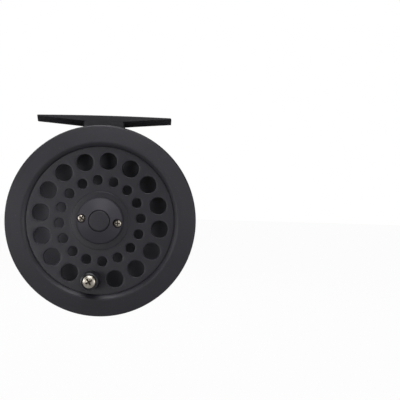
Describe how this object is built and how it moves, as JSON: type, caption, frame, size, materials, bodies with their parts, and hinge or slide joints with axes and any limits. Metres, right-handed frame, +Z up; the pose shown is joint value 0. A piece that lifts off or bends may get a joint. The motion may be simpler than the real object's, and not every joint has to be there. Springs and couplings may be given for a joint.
{
  "type": "fly reel",
  "caption": "Fly fishing reel with a drilled spool, exposed palming rim, push-button spool release, off-centre drag knob and a foot that clamps under a rod.",
  "frame": {"origin": "middle of the foot's flat seat, right above the spindle", "axes": "+Z up towards the rod, Y along the spindle with the drilled spool face towards -Y, +X to the right as seen from the front"},
  "size_m": [0.086, 0.0429, 0.0906],
  "materials": {
    "moulded_graphite": "matte moulded",
    "black_enamel": "gloss",
    "nickel_plate": "bright nickel",
    "chrome": "polished",
    "steel": "turned",
    "brass": "turned",
    "rubber": "moulded",
    "lining": "pressed friction lining"
  },
  "bodies": {
    "frame": {"cage": "black_enamel", "back_plate": "moulded_graphite", "reel_foot": "moulded_graphite", "foot_screw_left": "nickel_plate", "foot_screw_right": "nickel_plate", "cage_screw_1": "steel", "cage_screw_2": "steel", "cage_screw_3": "steel", "cage_screw_4": "steel", "line_guard": "chrome", "spindle": "steel", "pawl_post": "steel", "pawl_spring": "steel"},
    "spool": {"palming_rim": "moulded_graphite", "spool_face": "moulded_graphite", "spool_arbor": "moulded_graphite", "spool_bush": "brass", "click_gear": "brass", "hub_cap": "moulded_graphite", "hub_screw_left": "nickel_plate", "hub_screw_right": "nickel_plate", "latch_spring": "steel", "handle_screw": "nickel_plate", "handle_sleeve": "nickel_plate", "handle_insert": "brass"},
    "handle": {"handle_knob": "moulded_graphite"},
    "drag": {"drag_knob": "moulded_graphite", "drag_cam": "brass", "drag_cam_screw": "steel", "knob_o_ring": "rubber", "brake_pad": "lining"},
    "pawl": {"click_pawl": "brass"},
    "button": {"release_button": "moulded_graphite"},
    "latch": {"spool_latch": "steel"}
  },
  "joints": [
    {"name": "spool_spin", "type": "hinge", "parent": "frame", "child": "spool", "pos_m": [0, 0, -0.0476], "axis": [0, 1, 0], "continuous": true},
    {"name": "handle_spin", "type": "hinge", "parent": "spool", "child": "handle", "pos_m": [-0.00305, 0, -0.07433], "axis": [0, 1, 0], "continuous": true},
    {"name": "drag_turn", "type": "hinge", "parent": "frame", "child": "drag", "pos_m": [0, 0, -0.0261], "axis": [0, -1, 0], "range_deg": [0, 270]},
    {"name": "pawl_lift", "type": "hinge", "parent": "frame", "child": "pawl", "pos_m": [-0.0115, 0, -0.0586], "axis": [0, -1, 0], "range_deg": [0, 9], "stiffness_Nm_per_rad": 0.02, "springref_deg": -5.73, "deforming": ["pawl_spring"]},
    {"name": "button_press", "type": "slide", "parent": "spool", "child": "button", "axis": [0, 1, 0], "range_m": [0, 0.001], "stiffness_N_per_m": 600, "springref_m": -0.001},
    {"name": "latch_slide", "type": "slide", "parent": "spool", "child": "latch", "axis": [0.1132, 0, 0.9936], "range_m": [0, 0.001], "deforming": ["latch_spring"]}
  ],
  "couplings": [
    {"joint": "latch_slide", "follows": "button_press", "ratio": 1}
  ]
}
